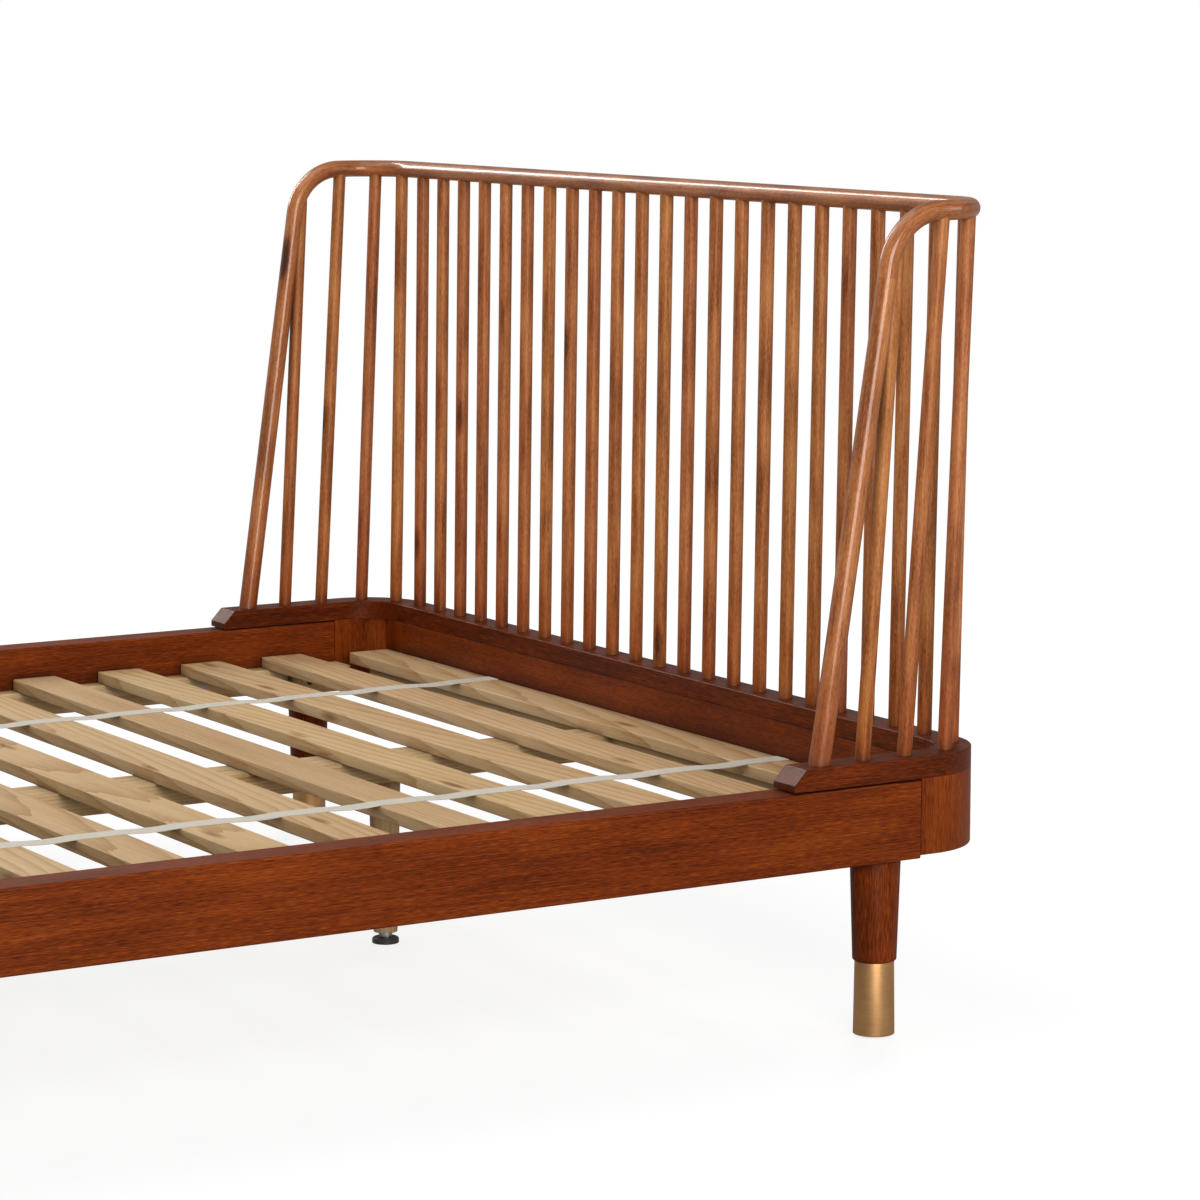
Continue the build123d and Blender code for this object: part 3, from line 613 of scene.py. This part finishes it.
def slatPart(y, length, middleZ, look, draw):
    outline, log = slatOutline(look), cutFrom(look["log"], draw)
    inset, half = look["endEase"], length / 2
    verts, grain = [], []
    for x, drawnIn in ((-half, inset), (-half + inset, 0), (half - inset, 0), (half, inset)):
        shrinkY, shrinkZ = 1 - drawnIn / (look["wide"] / 2), 1 - drawnIn / (look["thick"] / 2)
        for across, up in outline:
            verts.append(Vector((x, y + across * shrinkY, middleZ + up * shrinkZ)))
            grain.append((across * shrinkY + log[0], up * shrinkZ + log[1], x + log[2]))
    return ringedPart(verts, grain, len(outline), draw.uniform(-look["tints"], look["tints"]))


def slatPlaces(look):
    low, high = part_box("slats")
    first, last = low.y + look["wide"] / 2, high.y - look["wide"] / 2
    return [first + (last - first) * number / (look["count"] - 1) for number in range(look["count"])]


def makeSlats(look):
    draw = random.Random(look["seed"])
    low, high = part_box("slats")
    parts = []
    for number, y in enumerate(slatPlaces(look)):
        length = look["endLong"] if number in (0, look["count"] - 1) else look["long"]
        parts.append(slatPart(y, length, (low.z + high.z) / 2, look, draw))
    return makePiece("deckSlats", parts, slatWood, ["slats"])


deckSlats = makeSlats(slats)


# the two cotton tapes that space the slats

tapes = {
    "width": 0.030, "thick": 0.0009, "sag": 0.0016, "edgeRun": 0.001, "step": 0.006, "across": 6,
    "light": (226, 218, 200), "dark": (176, 166, 146), "rib": 0.003, "bands": 6, "yarn": (900, 900),
    "ribTone": 0.32, "yarnTone": 0.8, "ribHeight": 0.5, "yarnHeight": 0.4,
    "bump": 0.5, "bumpDepth": 0.0006, "sheen": 0.3,
}


def tapeMaterial(name, look):
    # herringbone weave: slanted ribs that turn back at each band across the tape
    material, tree, shader = newMaterial(name)
    lying = addNode(tree, "TexCoord").outputs["Object"]
    split = addNode(tree, "SeparateXYZ", None, {0: lying})
    band, perRib = look["width"] / look["bands"], math.tau / look["rib"]
    folded = addNode(tree, "Math", {1: band}, {0: split.outputs["X"]}, operation="PINGPONG").outputs[0]
    slant = addUp(tree, 0, [(split.outputs["Y"], 0, perRib), (folded, 0, perRib)])
    rib = addNode(tree, "Math", None, {0: slant}, operation="SINE").outputs[0]
    yarn = stretchedNoise(tree, lying, *look["yarn"], 3)
    tone = addUp(tree, 0.5, [(rib, 0, look["ribTone"]), (yarn, 0.5, look["yarnTone"])])
    colour = colourStops(tree, tone, list(zip(toneEnds, (paint(*look["dark"]), paint(*look["light"])))))
    rough = fade(tree, yarn, 0.2, 0.8, 0.8, 0.95)
    height = addUp(tree, 0, [(rib, 0, look["ribHeight"]), (yarn, 0, look["yarnHeight"])])
    bump = addNode(tree, "Bump", {"Strength": look["bump"], "Distance": look["bumpDepth"]},
                   {"Height": height})
    linkShader(tree, shader, colour, rough, bump)
    shader.inputs["Sheen Weight"].default_value = look["sheen"]
    return material


tapeCotton = tapeMaterial("tapeCotton", tapes)


def tapeFaces(count, across):
    # the underside, the top, both edges and both ends of a strip
    wide = across + 1
    row = 2 * wide
    faces = []
    for number in range(count):
        near, far = number * row, (number + 1) * row
        for step in range(across):
            over, farOver = near + wide + step, far + wide + step
            faces.append((near + step, near + step + 1, far + step + 1, far + step))
            faces.append((over, farOver, farOver + 1, over + 1))
        for edge in (0, across):
            faces.append((near + edge, far + edge, far + wide + edge, near + wide + edge))
    for first in (0, count * row):
        for step in range(across):
            faces.append((first + step, first + wide + step, first + wide + step + 1, first + step + 1))
    return faces


def makeTapes(look):
    # each tape lies flat on the slats and sags a little between them
    low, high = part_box("slat_tapes")
    tapeX, top, places = high.x - look["width"] / 2, high.z, slatPlaces(slats)
    count, across = round((high.y - low.y) / look["step"]), look["across"]
    halfSlat = slats["wide"] / 2
    gap = places[1] - places[0] - slats["wide"]
    for side in (1, -1):
        verts, grain = [], []
        for number in range(count + 1):
            y = low.y + (high.y - low.y) * number / count
            offSlat = max(0.0, min(abs(y - place) for place in places) - halfSlat + look["edgeRun"])
            dip = look["sag"] * math.sin(math.pi * min(1.0, offSlat / gap))
            for layer in (0, look["thick"]):
                for step in range(across + 1):
                    x = side * tapeX + (step / across - 0.5) * look["width"]
                    verts.append(Vector((x, y, top - dip - look["thick"] + layer)))
                    grain.append((x, 0, y))
        part = {"verts": verts, "faces": tapeFaces(count, across), "grain": grain, "tint": 0.0}
        name = "slatTapeRight" if side == 1 else "slatTapeLeft"
        piece = makePiece(name, [part], tapeCotton, ["slat_tapes"])


makeTapes(tapes)
print("slats and tapes laid")


# centre legs, each with a threaded leveller and its pad

centreLegs = {
    "footRadius": 0.017, "topRadius": 0.0225, "ease": 0.001, "holeRadius": 0.0053, "holeTop": 0.086,
    "sides": 64, "seed": 31, "log": ((-0.09, 0.09), (0.01, 0.09), (0, 9)), "tints": 0.5,
}
levellers = {
    "studRadius": 0.005, "pitch": 0.0015, "thread": 0.0008, "sides": 24, "ringsPerTurn": 4,
    "flats": 0.017, "hexLow": 0.0083, "hexHigh": 0.0157, "hexEase": 0.0007, "hexReach": 1.6,
    "overlap": 0.001, "ease": 0.0006, "padSides": 64,
    "padRadius": 0.019, "padHigh": 0.008, "padEase": 0.002, "socketRadius": 0.00505, "socketLow": 0.003,
}
centreLegWood = woodMaterial("centreLegWood", pine)
studZinc = plainMaterial("studZinc", zincSteel)
padNylon = plainMaterial("padNylon", greyNylon)


def threadPart(low, high, centreY, look):
    # a rolled thread: the radius rises and falls once in each pitch, and the crest climbs as it turns
    rings = round((high - low) / look["pitch"] * look["ringsPerTurn"])
    verts = []
    for ring in range(rings + 1):
        height = low + (high - low) * ring / rings
        fadeEnd = min(1.0, (high - height) / look["pitch"], (height - low) / look["pitch"])
        for step in range(look["sides"]):
            angle = math.tau * step / look["sides"]
            turn = height / look["pitch"] - step / look["sides"]
            valley = abs((turn % 1.0) * 2 - 1)
            radius = look["studRadius"] - look["thread"] * (valley * fadeEnd + (1 - fadeEnd))
            verts.append(Vector((radius * math.cos(angle), centreY + radius * math.sin(angle), height)))
    return ringedPart(verts, [tuple(vert) for vert in verts], look["sides"])


def hexagonPart(centreY, look):
    # a hexagon with its corners turned off above and below
    ease, half = look["hexEase"], look["flats"] / 2
    wide = half + ease * look["hexReach"]
    rows = [(look["hexLow"], half), (look["hexLow"] + ease, wide), (look["hexHigh"] - ease, wide),
            (look["hexHigh"], half)]
    verts = []
    for height, limit in rows:
        for step in range(look["sides"]):
            angle = math.tau * step / look["sides"]
            flat = half / math.cos((angle + math.pi / 6) % (math.pi / 3) - math.pi / 6)
            reach = min(flat, limit)
            verts.append(Vector((reach * math.sin(angle), centreY + reach * math.cos(angle), height)))
    return ringedPart(verts, [tuple(vert) for vert in verts], look["sides"])


def makeLeveller(number, y, look):
    studLow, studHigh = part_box(f"leveller_stud_{number}")
    shankTop = look["hexLow"] + look["overlap"]
    shank = [(pinRadius, studLow.z), (look["studRadius"], studLow.z), (look["studRadius"], shankTop),
             (pinRadius, shankTop)]
    parts = [turnedPart(rounded(shank, look["ease"]), (0, y), look["sides"]), hexagonPart(y, look),
             threadPart(look["hexHigh"] - look["overlap"], studHigh.z, y, look)]
    body = f"leveller_stud_{number}"
    makePiece(f"levellerStud{number}", parts, studZinc, [body], body, 25)
    pad = [(pinRadius, 0.0), (look["padRadius"], 0.0),
           (look["padRadius"], look["padHigh"] - look["padEase"]),
           (look["padRadius"] - look["padEase"], look["padHigh"]),
           (look["socketRadius"], look["padHigh"]), (look["socketRadius"], look["socketLow"]),
           (pinRadius, look["socketLow"])]
    part = turnedPart(rounded(pad, look["ease"]), (0, y), look["padSides"])
    body = f"leveller_pad_{number}"
    makePiece(f"levellerPad{number}", [part], padNylon, [body], body)


def makeCentreLegs(look):
    draw = random.Random(look["seed"])
    for number in (1, 2, 3):
        low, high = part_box(f"centre_leg_{number}")
        y = (low.y + high.y) / 2
        corners = [(look["holeRadius"], low.z), (look["footRadius"], low.z), (look["topRadius"], high.z),
                   (pinRadius, high.z)]
        profile = [(pinRadius, look["holeTop"]), (look["holeRadius"], look["holeTop"])]
        profile += rounded(corners, look["ease"])
        log, tint = cutFrom(look["log"], draw), draw.uniform(-look["tints"], look["tints"])
        part = turnedPart(profile, (0, y), look["sides"], log, tint)
        makePiece(f"centreLeg{number}", [part], centreLegWood, [f"centre_leg_{number}"])
        makeLeveller(number, y, levellers)


makeCentreLegs(centreLegs)
print("centre legs and levellers made")


# finishes on the pieces that keep their own shape: wood, way of the grain, place in the log, paler by

sawnFinishes = {
    "side_rail_right": (mahogany, "y", (0.06, 0.14, 0.0)),
    "side_rail_left": (mahogany, "y", (0.21, -0.12, 3.1)),
    "head_rail": (mahogany, "x", (0.12, 0.09, 1.7)),
    "foot_rail": (mahogany, "x", (-0.1, 0.12, 6.2)),
    "head_corner_block_right": (mahogany, "z", (0.17, -0.07, 2.3), 0.06),
    "head_corner_block_left": (mahogany, "z", (-0.11, 0.1, 4.4), 0.04),
    "foot_corner_block_right": (mahogany, "z", (0.08, 0.13, 7.3)),
    "foot_corner_block_left": (mahogany, "z", (0.14, 0.05, 8.8)),
    "cap_plate_right": (mahogany, "y", (-0.07, 0.11, 5.2), -0.16),
    "cap_plate_left": (mahogany, "y", (0.13, 0.16, 9.4), -0.14),
    "cap_plate_back": (mahogany, "x", (0.05, -0.13, 3.9), -0.14),
    "side_cleat_right": (pine, "y", (0.1, 0.05, 1.0)),
    "side_cleat_left": (pine, "y", (-0.08, 0.12, 4.0)),
    "head_cleat": (pine, "x", (0.12, 0.03, 2.0)),
    "foot_cleat": (pine, "x", (0.02, 0.15, 5.0)),
    "centre_beam": (pine, "y", (0.09, -0.06, 7.0)),
    "leg_blocks": (pine, "y", (0.16, 0.02, 8.0)),
    "bow_dowels": (pine, "x", (0, 0.1, 0)),
    "cap_dowels": (pine, "z", (0, 0.1, 0)),
    "corner_dowels": (pine, "x", (0.1, 0, 0)),
    "cap_tongues": (pine, "x", (0.1, 0.1, 0)),
}
otherFinishes = {
    "glides": padNylon,
    "hanger_bolts": studZinc,
    "wood_screws": plainMaterial("screwZinc", zincSteel),
    "rail_hook_plates": plainMaterial("hookSteel", blackSteel),
    "rail_socket_plates": plainMaterial("socketSteel", blackSteel),
    "threaded_inserts": plainMaterial("insertBrass", yellowBrass),
}


def giveFinish(node, material):
    slots = cadNodes[node].data.materials
    if not slots:
        slots.append(material)
    for number in range(len(slots)):
        slots[number] = material


for node, (look, *cut) in sawnFinishes.items():
    giveFinish(node, woodMaterial(node + "_wood", look, *cut))
for node, material in otherFinishes.items():
    giveFinish(node, material)
print("finishes given")


# white studio: floor, world, lamps and camera

plainWhite = (1, 1, 1, 1)
studio = {
    "floorSize": 80, "floorDrop": 0.0003, "paper": (0.25, 0.25, 0.25, 1), "paperGlow": 0.81,
    "plainFrom": 1.8, "plainAt": 5.0, "worldFill": 0.17, "worldBright": 1.0, "glossSees": 0.16,
}
lamps = {
    "keySoftbox": {"at": (5.0, -0.7, 1.75), "to": (0.4, 0.7, 0.7), "size": (2.6, 2.7), "watts": 195},
    "rightFill": {"at": (3.4, 3.9, 1.8), "to": (0.6, 0.7, 0.5), "size": (1.6, 1.6), "watts": 28},
    "backFill": {"at": (-3.6, 4.2, 2.0), "to": (-0.2, 0.6, 0.5), "size": (2.4, 2.0), "watts": 160,
                 "softOnly": True},
    "leftFill": {"at": (-5.0, -2.4, 1.8), "to": (-0.2, -0.2, 0.4), "size": (2.4, 2.0), "watts": 55,
                 "softOnly": True},
    "overheadSoftbox": {"at": (-0.2, -0.2, 3.6), "to": (0, 0.5, 0.4), "size": (3.0, 2.6), "watts": 50},
    "bowStrip": {"at": (-3.5, -0.1, 2.9), "to": (0, 1.05, 1.05), "size": (0.5, 2.8), "watts": 85,
                 "glossOnly": True},
}


def backgroundRays(tree, look):
    # one for what the camera sees straight or through glass; the gloss sees the white more faintly
    rays = addNode(tree, "LightPath").outputs
    gloss = addNode(tree, "Math", {1: look["glossSees"]}, {0: rays["Is Glossy Ray"]}, operation="MULTIPLY")
    straight = addNode(tree, "Math", None, {0: rays["Is Camera Ray"], 1: rays["Is Transmission Ray"]},
                       operation="MAXIMUM")
    either = addNode(tree, "Math", None, {0: straight.outputs[0], 1: gloss.outputs[0]}, operation="MAXIMUM")
    return either.outputs[0]


def makeFloor(look):
    mesh = bpy.data.meshes.new("floor")
    half = look["floorSize"] / 2
    signs = ((-1, -1), (1, -1), (1, 1), (-1, 1))
    mesh.from_pydata([(x * half, y * half, -look["floorDrop"]) for x, y in signs], [], [(0, 1, 2, 3)])
    floor = bpy.data.objects.new("floor", mesh)
    bpy.context.scene.collection.objects.link(floor)
    material = bpy.data.materials.new("floorPaper")
    material.use_nodes = True
    tree = material.node_tree
    tree.nodes.clear()
    # the paper keeps the shadow near the bed and runs out to plain white
    seen = backgroundRays(tree, look)
    lying = addNode(tree, "NewGeometry").outputs["Position"]
    reach = addNode(tree, "VectorMath", None, {0: lying}, operation="LENGTH").outputs["Value"]
    plain = fade(tree, reach, look["plainFrom"], look["plainAt"])
    share = addNode(tree, "Math", None, {0: seen, 1: plain}, operation="MULTIPLY")
    paper = addNode(tree, "BsdfDiffuse", {"Color": look["paper"]})
    strength = fade(tree, seen, 0, 1, 0, look["paperGlow"])
    soft = addNode(tree, "Emission", {"Color": plainWhite}, {"Strength": strength})
    near = addNode(tree, "AddShader", None, {0: paper.outputs[0], 1: soft.outputs[0]})
    white = addNode(tree, "Emission", {"Color": plainWhite, "Strength": 1.0})
    mixed = addNode(tree, "MixShader", None, {0: share.outputs[0], 1: near.outputs[0], 2: white.outputs[0]})
    addNode(tree, "OutputMaterial", None, {"Surface": mixed.outputs[0]})
    mesh.materials.append(material)


def makeWorld(look):
    world = bpy.data.worlds.new("studio")
    bpy.context.scene.world = world
    world.use_nodes = True
    tree = world.node_tree
    tree.nodes.clear()
    strength = fade(tree, backgroundRays(tree, look), 0, 1, look["worldFill"], look["worldBright"])
    glow = addNode(tree, "Background", {"Color": plainWhite}, {"Strength": strength})
    addNode(tree, "OutputWorld", None, {"Surface": glow.outputs[0]})


def makeLamp(name, look):
    data = bpy.data.lights.new(name, "AREA")
    data.shape = "RECTANGLE"
    data.size, data.size_y = look["size"]
    data.energy = look["watts"]
    lamp = bpy.data.objects.new(name, data)
    lamp.location = look["at"]
    lamp.rotation_euler = (Vector(look["to"]) - Vector(look["at"])).to_track_quat("-Z", "Y").to_euler()
    lamp.visible_camera = False
    lamp.visible_diffuse = not look.get("glossOnly", False)
    lamp.visible_glossy = not look.get("softOnly", False)
    bpy.context.scene.collection.objects.link(lamp)


cameraPlace = {"at": (5.003, -2.0645, 1.2998), "down": 8.14, "turned": 58.72, "lens": 122.9, "sensor": 36}


def makeCamera(look):
    data = bpy.data.cameras.new("camera")
    data.sensor_width = look["sensor"]
    data.lens = look["lens"]
    camera = bpy.data.objects.new("camera", data)
    camera.location = look["at"]
    camera.rotation_euler = (math.radians(90 - look["down"]), 0, math.radians(look["turned"]))
    bpy.context.scene.collection.objects.link(camera)
    bpy.context.scene.camera = camera


makeFloor(studio)
makeWorld(studio)
for name, look in lamps.items():
    makeLamp(name, look)
makeCamera(cameraPlace)
bpy.context.scene.view_settings.view_transform = "Standard"
print("studio lit, camera placed")
